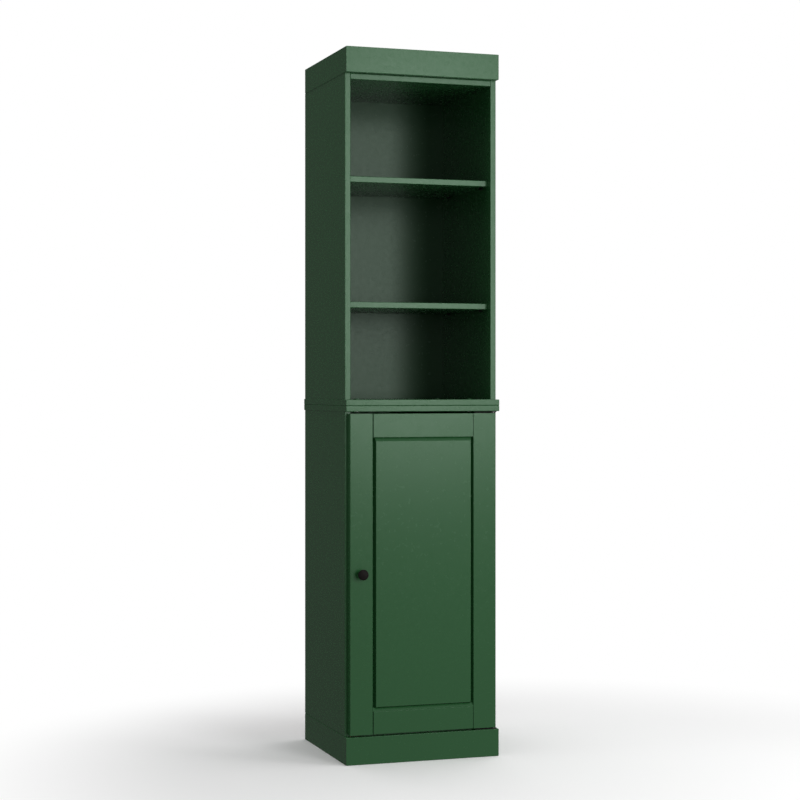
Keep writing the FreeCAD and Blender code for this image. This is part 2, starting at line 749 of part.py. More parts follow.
# Door panel: a thin rim in the grooves of the frame round a thick field that comes up to the door's face
opening_low = f"({door_bottom} + bottom_rail_width)"
opening_high = f"({door_top} - top_rail_width)"
floor_y = f"({door_face} + channel_depth)"
rim_reach = "(groove_reach - panel_play)"
panel_rim = box(
    "door_panel_rim",
    (f"-{rim_x}", floor_y, f"{opening_low} - {rim_reach}"),
    (rim_x, f"{floor_y} + tongue_thick", f"{opening_high} + {rim_reach}"),
)
field_blank = box(
    "door_panel_field_blank",
    (f"-({seam_x} - channel_side)", door_face, f"{opening_low} + channel_end"),
    (f"{seam_x} - channel_side", floor_y, f"{opening_high} - channel_end"),
)
field = soften("door_panel_field", field_blank, all_front_edges)
keep(fuse("door_panel", [panel_rim, field]))

# Knob: turned mushroom with a foot on the left stile, held by a screw from inside the door
knob_x = f"(-{door_half} + stile_width / 2)"
knob_z = f"(({door_top} + {door_bottom}) / 2)"
knob_under = "(knob_reach - knob_dome - knob_rim)"
knob_foot = (knob_x, door_face, knob_z)
knob_profile = [
    ("0", "0"),
    ("knob_stem_radius", "0"),
    ("knob_stem_radius", knob_under),
    ("knob_head_radius", knob_under),
    ("knob_head_radius", f"{knob_under} + knob_rim"),
    ("knob_head_radius * cos(30deg)", "knob_reach - knob_dome * (1 - sin(30deg) / sin(60deg))"),
    ("knob_head_radius * cos(60deg)", "knob_reach"),
    ("0", "knob_reach"),
]
knob_blank = turned("knob_blank", knob_profile, knob_foot, Rotation(Vector(0, 0, 1), 180))
drill("knob", "knob_screw_radius + hole_play", "knob_screw_bite", knob_foot, "-y")
keep(cut("knob", knob_blank, holes["knob"]))
knob_seat = (knob_x, door_back, knob_z)
drill("door_left_stile", "knob_screw_radius + hole_play", "door_thick", knob_seat, "-y")
keep(fuse("knob_screw", [
    bar("knob_screw_head", "knob_screw_head_radius", "knob_screw_head_height", knob_seat, "+y"),
    bar("knob_screw_shank", "knob_screw_radius", "door_thick + knob_screw_bite", knob_seat, "-y"),
]))

bumper_x = f"-({half} - board / 2 - door_inset / 2)"
keep(group("door_bumpers", [
    bar(f"door_bumper_{end}", "bumper_radius", "door_gap - bumper_play", (bumper_x, door_back, z), "+y")
    for end, z in (("low", f"{door_bottom} + bumper_inset"), ("high", f"{door_top} - bumper_inset"))
]))

# Knife hinges: a leaf on the end of the right stile turns on a pin that stands in a leaf on the cabinet
pivot_x = f"({door_half} - pivot_inset)"
pivot_y = f"({door_face} + door_thick / 2)"
washer_thick = "(door_clear - 2 * leaf_thick - 2 * hinge_play)"
stop_reach = "((leaf_width / 2 + stop_radius) / sin(stop_angle * 1deg))"
half_leaf = "(leaf_width / 2)"


def leaf(label, tail_x, seat_z, along, extra, pin_play):
    """A bar round the pivot, flat on its seat, with the pin hole; along points away from the seat."""
    low_z = seat_z if along == "+z" else f"{seat_z} - leaf_thick"
    pieces = [
        box(
            label + "_bar",
            (f"{pivot_x} - leaf_length", f"{pivot_y} - {half_leaf}", low_z),
            (tail_x, f"{pivot_y} + {half_leaf}", f"{low_z} + leaf_thick"),
        ),
        bar(label + "_eye", half_leaf, "leaf_thick", (tail_x, pivot_y, low_z), "+z"),
    ]
    drill(label, f"hinge_pin_radius + {pin_play}", "leaf_thick", (pivot_x, pivot_y, low_z), "+z", rod)
    return fuse(label + "_blank", pieces + extra)


pins = []
washers = []
for level, seat_z, door_seat, away, carrier in (
    ("top", base_ceiling, door_top, "-z", "base_top_board"),
    ("bottom", "plinth_height", door_bottom, "+z", "plinth_front"),
):
    fixed = f"{level}_hinge_fixed_leaf"
    moving = f"{level}_hinge_door_leaf"
    lug = bar(
        f"{level}_hinge_stop", "stop_radius", "door_clear - stop_play",
        (f"{pivot_x} + {stop_reach}", pivot_y, seat_z), away,
    )
    fixed_blank = leaf(fixed, f"{pivot_x} + {stop_reach}", seat_z, away, [lug], "0")
    moving_blank = leaf(moving, pivot_x, door_seat, opposite(away), [], "hole_play")
    pivot = (pivot_x, pivot_y, seat_z)
    pins.append(rod(f"hinge_pin_{level}", "hinge_pin_radius", "door_clear - stop_play", pivot, away))
    washer_at = shift(pivot, away, "leaf_thick + hinge_play")
    ring = bar(f"hinge_washer_{level}_blank", "washer_radius", washer_thick, washer_at, away)
    eye = bar(f"hinge_washer_{level}_eye", "washer_eye", washer_thick, washer_at, away)
    washers.append(cut(f"hinge_washer_{level}", ring, [eye]))
    for step in ("0", "leaf_screw_pitch"):
        screw_x = f"{pivot_x} - leaf_screw_start - {step}"
        head = shift((screw_x, pivot_y, seat_z), away, "leaf_thick")
        screw("fixed_screws", "small", "small_screw_length", head, opposite(away))
        screw_hole(fixed, "small", "leaf_thick", head, opposite(away))
        drill(
            carrier, "small_screw_radius + hole_play", "small_screw_length - leaf_thick",
            (screw_x, pivot_y, seat_z), opposite(away),
        )
        screw_x = f"{screw_x} - leaf_screw_offset"
        head = shift((screw_x, pivot_y, door_seat), opposite(away), "leaf_thick")
        screw("door_screws", "small", "small_screw_length", head, away)
        screw_hole(moving, "small", "leaf_thick", head, away)
        drill(
            "door_right_stile", "small_screw_radius + hole_play", "small_screw_length - leaf_thick",
            (screw_x, pivot_y, door_seat), away,
        )
    keep(cut(fixed, fixed_blank, holes[fixed]))
    keep(cut(moving, moving_blank, holes[moving]))
keep(group("hinge_pins", pins))
keep(group("hinge_washers", washers))

# Magnetic catch on the left side panel, and the steel plate that it holds on the door
catch_low = "(catch_height - catch_length / 2)"
catch_x = f"(-{inner_half})"
catch_blank = box(
    "catch_housing_blank",
    (catch_x, front, catch_low),
    (f"{catch_x} + catch_width", f"{front} + catch_depth", f"{catch_low} + catch_length"),
)
magnet_low = (f"{catch_x} + (catch_width - magnet_width) / 2", front, "catch_height - magnet_length / 2")
magnet_high = (
    f"{catch_x} + (catch_width + magnet_width) / 2",
    f"{front} + magnet_depth",
    "catch_height + magnet_length / 2",
)
holes["catch_housing"] = [box("catch_housing_pocket", magnet_low, magnet_high)]
for step in ("- catch_screw_pitch / 2", "+ catch_screw_pitch / 2"):
    head = (f"{catch_x} + catch_width", f"{front} + catch_depth / 2", f"catch_height {step}")
    sink = shift(head, "-x", "catch_width / 2")
    drill("catch_housing", "small_head_radius + hole_play", "catch_width / 2", head, "-x")
    screw("fixed_screws", "small", "small_screw_length", sink, "-x")
    screw_hole("catch_housing", "small", "catch_width / 2", sink, "-x")
    drill(
        "base_left_side", "small_screw_radius + hole_play", "small_screw_length - catch_width / 2",
        (catch_x, *head[1:]), "-x",
    )
keep(cut("catch_housing", catch_blank, holes["catch_housing"]))
keep(box("catch_magnet", magnet_low, magnet_high))
strike_x = f"({catch_x} + catch_width / 2)"
strike_blank = box(
    "catch_strike_blank",
    (f"{strike_x} - strike_width / 2", door_back, "catch_height - strike_length / 2"),
    (f"{strike_x} + strike_width / 2", f"{door_back} + strike_thick", "catch_height + strike_length / 2"),
)
strike_head = (strike_x, f"{door_back} + strike_thick", "catch_height")
screw("door_screws", "small", "small_screw_length", strike_head, "-y")
drill("catch_strike", "small_head_radius + hole_play", "strike_thick", strike_head, "-y")
strike_sink = (strike_x, door_back, "catch_height")
strike_sink_depth = "small_head_height - strike_thick"
drill("door_left_stile", "small_head_radius + hole_play", strike_sink_depth, strike_sink, "-y")
drill(
    "door_left_stile", "small_screw_radius + hole_play", "small_screw_length - small_head_height",
    shift(strike_head, "-y", "small_head_height"), "-y",
)
keep(cut("catch_strike", strike_blank, holes["catch_strike"]))

# Drilled boards
for label, blank in (
    ("plinth_front", plinth_front_blank),
    ("base_left_side", base_sides["left"]),
    ("base_right_side", base_sides["right"]),
    ("base_bottom_panel", base_bottom_blank),
    ("base_top_board", base_top_blank),
    ("base_back_panel", base_back_blank),
    ("wall_rail", wall_rail_blank),
    ("upper_bottom_board", upper_bottom_blank),
    ("upper_left_side", upper_sides["left"]),
    ("upper_right_side", upper_sides["right"]),
    ("upper_top_panel", upper_top_blank),
    ("upper_back_panel", upper_back_blank),
    ("door_left_stile", stiles["left"]),
    ("door_right_stile", stiles["right"]),
):
    keep(cut(label, blank, holes[label]))

for kind, members in fasteners.items():
    keep(group(kind, members))

doc.recompute()
for obj in doc.Objects:
    if "Invalid" in obj.State or "Error" in obj.State:
        raise RuntimeError(f"{obj.Label} failed: {obj.State}")
for node in nodes:
    if node.Shape.isNull() or not node.Shape.isValid() or not node.Shape.Solids:
        raise RuntimeError(f"{node.Label} has no valid solid")

os.makedirs("parts", exist_ok=True)
for node in nodes:
    node.Shape.exportStep(f"parts/{node.Label}.step")
print(len(nodes), "sub-parts")
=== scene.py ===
import math

import bmesh
import bpy
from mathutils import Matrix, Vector


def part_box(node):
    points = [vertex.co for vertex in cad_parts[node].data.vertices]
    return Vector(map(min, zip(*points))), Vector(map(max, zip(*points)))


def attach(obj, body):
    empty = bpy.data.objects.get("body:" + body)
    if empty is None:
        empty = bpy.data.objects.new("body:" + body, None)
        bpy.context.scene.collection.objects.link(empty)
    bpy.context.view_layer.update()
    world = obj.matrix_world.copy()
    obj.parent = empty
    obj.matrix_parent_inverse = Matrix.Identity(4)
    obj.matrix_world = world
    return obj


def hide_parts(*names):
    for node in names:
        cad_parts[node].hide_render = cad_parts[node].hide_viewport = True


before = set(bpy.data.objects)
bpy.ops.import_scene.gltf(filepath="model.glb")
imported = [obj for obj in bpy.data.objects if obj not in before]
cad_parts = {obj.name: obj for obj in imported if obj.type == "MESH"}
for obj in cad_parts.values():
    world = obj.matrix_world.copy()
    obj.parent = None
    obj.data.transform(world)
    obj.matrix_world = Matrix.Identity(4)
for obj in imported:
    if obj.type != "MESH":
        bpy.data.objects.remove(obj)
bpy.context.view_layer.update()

# Plinth: four fibreboard boards on the floor, mitred at the two front corners and sprayed with dark
# green satin paint. The spray leaves a very fine ripple and a slightly uneven gloss, and it rounds
# every sharp edge of the board a little.
PAINT_GREEN = (0.0148, 0.073, 0.0218)
PAINT_SHADE = 0.93
PAINT_ROUGHNESS = (0.23, 0.28)
PAINT_GLOSS = 0.285
PAINT_SHEEN = (0.81, 1.0, 0.86)
PAINT_CLOUDS = 7
PAINT_MOTTLE = 90
PAINT_MOTTLE_SHARE = 0.35
PAINT_RIPPLE = 150
PAINT_RIPPLE_DETAIL = 1
PAINT_RIPPLE_DEPTH = 0.0001
PAINT_RIPPLE_STRENGTH = 0.1
PAINT_EDGE = 0.0004
EDGE_STEPS = 2
CORNER_ANGLE = 30
FLAT_ANGLE = 1
SAME_PLACE = 1e-6
TEXTURE_DETAIL = 3
TEXTURE_RANGE = (0.3, 0.7)


def new_material(name):
    """A material with its shader and the place on the object that its textures use."""
    material = bpy.data.materials.new(name)
    material.use_nodes = True
    nodes = material.node_tree.nodes
    place = nodes.new("ShaderNodeTexCoord").outputs["Object"]
    return material, nodes["Principled BSDF"], place


def join(material, source, target):
    material.node_tree.links.new(source, target)


def speckle(material, place, scale, detail=TEXTURE_DETAIL):
    """Soft random spots, so many to the metre."""
    texture = material.node_tree.nodes.new("ShaderNodeTexNoise")
    texture.inputs["Scale"].default_value = scale
    texture.inputs["Detail"].default_value = detail
    join(material, place, texture.inputs["Vector"])
    return texture.outputs["Fac"]


def between(material, amount, low, high):
    """A number that goes from low to high with the middle range of a texture."""
    spread = material.node_tree.nodes.new("ShaderNodeMapRange")
    spread.inputs["From Min"].default_value = TEXTURE_RANGE[0]
    spread.inputs["From Max"].default_value = TEXTURE_RANGE[1]
    spread.inputs["To Min"].default_value = low
    spread.inputs["To Max"].default_value = high
    join(material, amount, spread.inputs["Value"])
    return spread.outputs["Result"]


def tinted(material, amount, first, second):
    """A colour that goes from first to second with a texture; each is a colour or a socket."""
    mix = material.node_tree.nodes.new("ShaderNodeMix")
    mix.data_type = "RGBA"
    join(material, amount, mix.inputs["Factor"])
    colour_inputs = [entry for entry in mix.inputs if entry.type == "RGBA"]
    for target, colour in zip(colour_inputs, (first, second)):
        if isinstance(colour, bpy.types.NodeSocket):
            join(material, colour, target)
        else:
            target.default_value = (*colour, 1)
    return [entry for entry in mix.outputs if entry.type == "RGBA"][0]


def relief(material, height, depth, strength, under=None):
    """A surface relief of so many metres, on top of another one if there is one under it."""
    bump = material.node_tree.nodes.new("ShaderNodeBump")
    bump.inputs["Distance"].default_value = depth
    bump.inputs["Strength"].default_value = strength
    join(material, height, bump.inputs["Height"])
    if under is not None:
        join(material, under, bump.inputs["Normal"])
    return bump.outputs["Normal"]


def shaded(colour, share):
    return tuple(part * share for part in colour)


def satin_paint(name, green, gloss):
    material, shader, place = new_material(name)
    darker = shaded(green, PAINT_SHADE)
    clouds = speckle(material, place, PAINT_CLOUDS)
    mottle = speckle(material, place, PAINT_MOTTLE)
    cloudy = tinted(material, clouds, darker, green)
    spots = between(material, mottle, 0, PAINT_MOTTLE_SHARE)
    join(material, tinted(material, spots, cloudy, darker), shader.inputs["Base Color"])
    join(material, between(material, mottle, *PAINT_ROUGHNESS), shader.inputs["Roughness"])
    waves = speckle(material, place, PAINT_RIPPLE, PAINT_RIPPLE_DETAIL)
    ripple = relief(material, waves, PAINT_RIPPLE_DEPTH, PAINT_RIPPLE_STRENGTH)
    join(material, ripple, shader.inputs["Normal"])
    shader.inputs["Specular IOR Level"].default_value = gloss
    shader.inputs["Specular Tint"].default_value = (*PAINT_SHEEN, 1)
    return material


def finish(nodes, material, edge=0.0):
    """Give CAD nodes their finish; an edge rounds their sharp corners by so many metres."""
    for node in nodes:
        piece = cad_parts[node]
        piece.data.materials.clear()
        piece.data.materials.append(material)
        if not edge:
            continue
        weld = piece.modifiers.new("joined corners", "WELD")
        weld.merge_threshold = SAME_PLACE
        flat = piece.modifiers.new("whole faces", "DECIMATE")
        flat.decimate_type = "DISSOLVE"
        flat.angle_limit = math.radians(FLAT_ANGLE)
        rounding = piece.modifiers.new("rounded edges", "BEVEL")
        rounding.width = edge
        rounding.segments = EDGE_STEPS
        rounding.limit_method = "ANGLE"
        rounding.angle_limit = math.radians(CORNER_ANGLE)
        rounding.use_clamp_overlap = False
        piece.modifiers.new("even shading", "WEIGHTED_NORMAL")


paint = satin_paint("satin green paint", PAINT_GREEN, PAINT_GLOSS)
finish(["plinth_front", "plinth_left", "plinth_right", "plinth_back"], paint, PAINT_EDGE)

# Corner blocks: short lengths of planed softwood in the corners of the plinth, left unpainted, each
# drilled for one screw. The dowels in the carcass are the same pale wood.
WOOD_COLOURS = ((0.56, 0.40, 0.23), (0.36, 0.22, 0.11))
WOOD_ROUGHNESS = (0.55, 0.75)
WOOD_GRAIN = (260, 260, 9)
WOOD_GRAIN_DETAIL = 5
WOOD_GRAIN_DEPTH = 0.0003
WOOD_GRAIN_STRENGTH = 0.3


def stretched(material, place, scale):
    """The place with each direction scaled, for grain and rolling lines."""
    mapping = material.node_tree.nodes.new("ShaderNodeMapping")
    mapping.inputs["Scale"].default_value = scale
    join(material, place, mapping.inputs["Vector"])
    return mapping.outputs["Vector"]


def marked_finish(name, colours, roughness, scale, detail, depth=0.0, strength=0.0, bold=True):
    """A finish marked by one texture; a bold one reaches both of its colours."""
    material, shader, place = new_material(name)
    if isinstance(scale, tuple):
        place, scale = stretched(material, place, scale), 1
    marks = speckle(material, place, scale, detail)
    amount = between(material, marks, 0, 1) if bold else marks
    join(material, tinted(material, amount, *colours), shader.inputs["Base Color"])
    join(material, between(material, marks, *roughness), shader.inputs["Roughness"])
    if depth:
        join(material, relief(material, marks, depth, strength), shader.inputs["Normal"])
    return material


wood = marked_finish(
    "planed softwood", WOOD_COLOURS, WOOD_ROUGHNESS, WOOD_GRAIN, WOOD_GRAIN_DETAIL,
    WOOD_GRAIN_DEPTH, WOOD_GRAIN_STRENGTH,
)
finish(["plinth_corner_blocks"], wood, PAINT_EDGE)
finish(["wood_dowels"], wood)

# Block screws: countersunk steel screws with a cross recess and a rolled thread, driven up through
# the blocks of the plinth and through the top panel into the blocks of the crown, and painted over.
SCREW_FIT = 0.92
SCREW_SIDES = 32
SCREW_CREASE = 38
HEAD_SHARES = (0, 0.1, 0.2, 0.3, 0.4, 0.5, 0.6, 0.66, 0.8, 0.92, 1)
HEAD_RIM = 0.12
CROSS_REACH = 0.62
CROSS_ARM = 0.14
CROSS_DEPTH = 0.7
CROSS_TAPER = 0.5
THREAD_PITCH = 0.0016
THREAD_ROOT = 0.72
SAME_LEVEL = 1e-5


def solids_of(node):
    """The corners of each separate solid of a CAD node."""
    mesh = bmesh.new()
    mesh.from_mesh(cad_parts[node].data)
    bmesh.ops.remove_doubles(mesh, verts=mesh.verts, dist=SAME_PLACE)
    solids = []
    done = set()
    for start in mesh.verts:
        if start in done:
            continue
        done.add(start)
        solid = [start]
        for corner in solid:
            for link in corner.link_edges:
                other = link.other_vert(corner)
                if other not in done:
                    done.add(other)
                    solid.append(other)
        solids.append([corner.co.copy() for corner in solid])
    mesh.free()
    return solids


class Fit:
    """Where one round fitting sits: its head, the way into the work, its length and its radii."""

    def __init__(self, corners, axis=None):
        low = Vector([min(corner[way] for corner in corners) for way in range(3)])
        high = Vector([max(corner[way] for corner in corners) for way in range(3)])
        size = high - low
        axis = max(range(3), key=lambda way: size[way]) if axis is None else axis
        middle = (low + high) / 2

        def reach(corner):
            out = corner - middle
            out[axis] = 0
            return out.length

        def end_radius(end):
            level = [corner for corner in corners if abs(corner[axis] - end[axis]) < SAME_LEVEL]
            return max(reach(corner) for corner in level)

        ends = [end_radius(low), end_radius(high)]
        # The wider end is the head; a plain pin's head is the end nearer to the cabinet's middle.
        if abs(ends[0] - ends[1]) < SAME_LEVEL:
            head_is_low = abs(low[axis]) < abs(high[axis])
        else:
            head_is_low = ends[0] > ends[1]
        self.head = middle.copy()
        self.head[axis] = low[axis] if head_is_low else high[axis]
        self.way = Vector((0, 0, 0))
        self.way[axis] = 1 if head_is_low else -1
        self.length = size[axis]
        self.head_radius = max(ends) * SCREW_FIT
        self.radius = min(ends) * SCREW_FIT
        self.inner_radius = min(reach(corner) for corner in corners)
        limit = (max(ends) + min(ends)) / 2
        wide = [abs(corner[axis] - self.head[axis]) for corner in corners if reach(corner) > limit]
        self.head_height = max(wide) if wide else 0.0


def fits_of(node, axis=None):
    return [Fit(corners, axis) for corners in solids_of(node)]


class Turning:
    """Forms turned round the lines of fittings, collected into one mesh."""

    def __init__(self):
        self.points = []
        self.faces = []

    def add(self, fit, profile, dent=None, closed=False, sides=SCREW_SIDES):
        """Spin pairs of radius and depth round a fit; dent adds depth by radius and angle."""
        across = fit.way.orthogonal().normalized()
        up = fit.way.cross(across)
        rings = []
        for radius, depth in profile:
            ring = []
            for side in range(sides if radius else 1):
                angle = 2 * math.pi * side / sides
                deeper = dent(radius, angle) if dent else 0.0
                out = across * math.cos(angle) + up * math.sin(angle)
                ring.append(len(self.points))
                self.points.append(fit.head + fit.way * (depth + deeper) + out * radius)
            rings.append(ring)
        pairs = list(zip(rings, rings[1:]))
        if closed:
            pairs.append((rings[-1], rings[0]))
        for first, second in pairs:
            for side in range(sides):
                corners = []
                for ring, step in ((first, 0), (first, 1), (second, 1), (second, 0)):
                    corner = ring[(side + step) % len(ring)]
                    if corner not in corners:
                        corners.append(corner)
                self.faces.append(corners)

    def piece(self, name, material, body, slot, node, crease=SCREW_CREASE):
        """The mesh as a piece of a body; edges sharper than so many degrees stay crisp."""
        mesh = bpy.data.meshes.new(name)
        mesh.from_pydata(self.points, [], self.faces)
        shape = bmesh.new()
        shape.from_mesh(mesh)
        bmesh.ops.recalc_face_normals(shape, faces=shape.faces)
        shape.to_mesh(mesh)
        shape.free()
        mesh.polygons.foreach_set("use_smooth", [True] * len(mesh.polygons))
        mesh.set_sharp_from_angle(angle=math.radians(crease))
        mesh.materials.append(material)
        piece = bpy.data.objects.new(name, mesh)
        bpy.context.scene.collection.objects.link(piece)
        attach(piece, body)
        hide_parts(node)
        return piece


def cross_recess(radius, depth):
    """The dent of a cross recess in a head of that radius."""
    def dent(distance, angle):
        turn = (angle + math.pi / 4) % (math.pi / 2) - math.pi / 4
        in_arm = abs(distance * math.sin(turn)) < CROSS_ARM * radius
        if in_arm and distance < CROSS_REACH * radius:
            return depth * (1 - CROSS_TAPER * distance / radius)
        return 0.0
    return dent


def head_rings(radius, rise):
    """The top of a head from its middle to its rim, domed by so much."""
    return [(share * radius, rise * share * share) for share in HEAD_SHARES]


def thread(radius, start, end):
    """A rolled thread down to a point."""
    rings = []
    depth = start
    while depth + 2 * THREAD_PITCH < end:
        rings.append((radius * THREAD_ROOT, depth))
        rings.append((radius, depth + THREAD_PITCH / 2))
        depth += THREAD_PITCH
    return rings + [(radius * THREAD_ROOT, depth), (0, end)]


def sunk_screw(turning, fit):
    profile = head_rings(fit.head_radius, 0.0)
    profile.append((fit.head_radius, HEAD_RIM * fit.head_height))
    profile.append((fit.radius, fit.head_height))
    profile += thread(fit.radius, fit.head_height + THREAD_PITCH, fit.length)
    turning.add(fit, profile, cross_recess(fit.head_radius, CROSS_DEPTH * fit.head_height))


block_screws = Turning()
for fit in fits_of("block_screws"):
    sunk_screw(block_screws, fit)
block_screws.piece("painted-block-screws", paint, "cabinet", "painted_steel", "block_screws")

# Base unit: two side panels on the plinth, a bottom panel between them, a top board over them, a
# shelf and a wall rail, all of the same painted fibreboard as the plinth.
finish([
    "base_left_side", "base_right_side", "base_bottom_panel", "base_top_board", "base_shelf",
    "wall_rail",
], paint, PAINT_EDGE)

# Backs: sheets of hardboard nailed into rebates. Their inner face is painted with the same green,
# with less gloss because the board drinks the paint, and darkened as painted shade for the shade
# deep inside the unit. Their rear face is bare and shows the marks of the press screen.
# The share of the paint's green left on the inner face of the backs: a painted shade.
BACK_PAINTED_SHADE = 0.4
BACK_GLOSS = 0.172
HARDBOARD_COLOURS = ((0.24, 0.135, 0.070), (0.15, 0.080, 0.040))
HARDBOARD_FIBRES = (900, 900, 300)
HARDBOARD_DETAIL = 4
HARDBOARD_ROUGHER = 0.4
REAR_FACING = 0.5
SCREEN_MESH = 620
SCREEN_DEPTH = 0.0003
SCREEN_STRENGTH = 0.6


def worked_out(material, operation, *values):
    """A number worked out from others, each of them a number or a socket."""
    step = material.node_tree.nodes.new("ShaderNodeMath")
    step.operation = operation
    for target, value in zip(step.inputs, values):
        if isinstance(value, bpy.types.NodeSocket):
            join(material, value, target)
        else:
            target.default_value = value
    return step.outputs[0]


# The backs' inner green is darkened here as painted shade for the shade inside the unit.
back = satin_paint("painted hardboard with painted shade", shaded(PAINT_GREEN, BACK_PAINTED_SHADE), BACK_GLOSS)
back_nodes = back.node_tree.nodes
back_coordinates = back_nodes["Texture Coordinate"].outputs
back_inputs = back_nodes["Principled BSDF"].inputs
painted_colour = back_inputs["Base Color"].links[0].from_socket
painted_roughness = back_inputs["Roughness"].links[0].from_socket
painted_normal = back_inputs["Normal"].links[0].from_socket

facing = back_nodes.new("ShaderNodeSeparateXYZ")
join(back, back_coordinates["Normal"], facing.inputs["Vector"])
rear_face = worked_out(back, "GREATER_THAN", facing.outputs["Y"], REAR_FACING)

fibre_place = stretched(back, back_coordinates["Object"], HARDBOARD_FIBRES)
fibres = speckle(back, fibre_place, 1, HARDBOARD_DETAIL)
bare_colour = tinted(back, between(back, fibres, 0, 1), *HARDBOARD_COLOURS)
join(back, tinted(back, rear_face, painted_colour, bare_colour), back_inputs["Base Color"])
rougher = worked_out(back, "MULTIPLY_ADD", rear_face, HARDBOARD_ROUGHER, painted_roughness)
join(back, rougher, back_inputs["Roughness"])

ridges = []
for direction in ("X", "Z"):
    wave = back_nodes.new("ShaderNodeTexWave")
    wave.bands_direction = direction
    wave.inputs["Scale"].default_value = SCREEN_MESH / math.pi
    join(back, back_coordinates["Object"], wave.inputs["Vector"])
    ridges.append(wave.outputs["Fac"])
weave = worked_out(back, "MULTIPLY", *ridges)
screen_marks = worked_out(back, "MULTIPLY", weave, rear_face)
screen_relief = relief(back, screen_marks, SCREEN_DEPTH, SCREEN_STRENGTH, painted_normal)
join(back, screen_relief, back_inputs["Normal"])
finish(["base_back_panel", "upper_back_panel"], back)

# Hidden fittings: cam discs and bolts and long carcass screws, cast or rolled in steel and plated
# bright, with the faint cloudy bloom of zinc.
ZINC_COLOURS = ((0.62, 0.62, 0.60), (0.45, 0.46, 0.46))
ZINC_ROUGHNESS = (0.26, 0.44)
ZINC_BLOOM = 420
ZINC_BLOOM_DETAIL = 4
ZINC_BLOOM_DEPTH = 0.0001
ZINC_BLOOM_STRENGTH = 0.1


def shader_inputs(material):
    return material.node_tree.nodes["Principled BSDF"].inputs


zinc = marked_finish(
    "bright zinc plate", ZINC_COLOURS, ZINC_ROUGHNESS, ZINC_BLOOM, ZINC_BLOOM_DETAIL,
    ZINC_BLOOM_DEPTH, ZINC_BLOOM_STRENGTH,
)
shader_inputs(zinc)["Metallic"].default_value = 1.0
finish(["cam_discs", "cam_bolts", "carcass_screws"], zinc)

# Back nails: short wire nails with a flat, slightly domed head, driven through the hardboard into
# the boards along its edges.
NAIL_DOME = 0.35
NAIL_RIM = 0.7
NAIL_NECK = 1.3
NAIL_NECK_END = 1.6
NAIL_POINT = 2
nails = Turning()
for fit in fits_of("back_nails"):
    profile = head_rings(fit.head_radius, NAIL_DOME * fit.head_height)
    profile += [
        (fit.head_radius, NAIL_RIM * fit.head_height),
        (fit.radius * NAIL_NECK, fit.head_height),
        (fit.radius, NAIL_NECK_END * fit.head_height),
        (fit.radius, fit.length - NAIL_POINT * fit.radius),
        (0, fit.length),
    ]
    nails.add(fit, profile)
nails.piece("wire-nails", zinc, "cabinet", "zinc_steel", "back_nails")

# Joining bolts: four flat-headed bolts down through both boards into sleeve nuts from below. The
# heads in the open shelf unit are painted with the boards, and the sleeves behind the door are left
# plated.
BOLT_RIM = 0.25
BOLT_CROSS = 0.7
BOLT_CHAMFER = 0.0005


def flat_headed(node):
    turning = Turning()
    for fit in fits_of(node):
        profile = head_rings(fit.head_radius, 0.0)[:-1]
        profile += [
            (fit.head_radius, BOLT_RIM * fit.head_height),
            (fit.head_radius, fit.head_height),
            (fit.radius, fit.head_height),
            (fit.radius, fit.length - BOLT_CHAMFER),
            (fit.radius - BOLT_CHAMFER, fit.length),
            (0, fit.length),
        ]
        recess = cross_recess(fit.head_radius * BOLT_CROSS, CROSS_DEPTH * fit.head_height)
        turning.add(fit, profile, recess)
    return turning


bolts = flat_headed("joining_bolts")
bolts.piece("painted-bolts", paint, "cabinet", "painted_steel", "joining_bolts")
sleeves = flat_headed("joining_sleeves")
sleeves.piece("plated-sleeves", zinc, "cabinet", "zinc_steel", "joining_sleeves")

# Shelf unit: side panels on a second overhanging board, a top panel, and two loose shelves on pins,
# all painted fibreboard.
finish([
    "upper_bottom_board", "upper_left_side", "upper_right_side", "upper_top_panel",
    "upper_shelf_low", "upper_shelf_high",
], paint, PAINT_EDGE)

# Shelf pins: short turned steel pins with a rounded end and a shallow neck, pushed into holes in
# the side panels under each shelf, with the same dark bronze finish as the knob.
BRONZE_COLOURS = ((0.0060, 0.0054, 0.0053), (0.0110, 0.0092, 0.0084))
BRONZE_ROUGHNESS = (0.50, 0.65)
BRONZE_GLOSS = 0.05
BRONZE_PATINA = 300
BRONZE_PATINA_DETAIL = 4
BRONZE_PATINA_DEPTH = 0.0002
BRONZE_PATINA_STRENGTH = 0.15
PIN_REACH = 0.009
PIN_NOSE = ((0, 0), (0.5, 0.06), (0.8, 0.2), (0.95, 0.45), (1, 0.8))
PIN_NECK = 0.86
PIN_NECK_STEP = 0.0006
PIN_TAIL = 0.8
PIN_TAIL_LENGTH = 0.2
bronze = marked_finish(
    "dark bronze", BRONZE_COLOURS, BRONZE_ROUGHNESS, BRONZE_PATINA, BRONZE_PATINA_DETAIL,
    BRONZE_PATINA_DEPTH, BRONZE_PATINA_STRENGTH,
)
shader_inputs(bronze)["Specular IOR Level"].default_value = BRONZE_GLOSS
pins = Turning()
for fit in fits_of("shelf_pins"):
    profile = [(fit.radius * out, fit.radius * depth) for out, depth in PIN_NOSE]
    profile += [
        (fit.radius, PIN_REACH - 3 * PIN_NECK_STEP),
        (fit.radius * PIN_NECK, PIN_REACH - 2 * PIN_NECK_STEP),
        (fit.radius * PIN_NECK, PIN_REACH - PIN_NECK_STEP),
        (fit.radius, PIN_REACH),
        (fit.radius, fit.length - PIN_TAIL_LENGTH * fit.radius),
        (fit.radius * PIN_TAIL, fit.length),
        (0, fit.length),
    ]
    pins.add(fit, profile)
pins.piece("turned-shelf-pins", bronze, "cabinet", "dark_metal", "shelf_pins")

# Crown: a shallow box of painted boards like the plinth's, closed by a lid. Its corner blocks stand
# on the top panel and show a little under the overhang, so they are painted with the boards.
finish([
    "crown_front", "crown_left", "crown_right", "crown_back", "crown_lid", "crown_corner_blocks",
], paint, PAINT_EDGE)

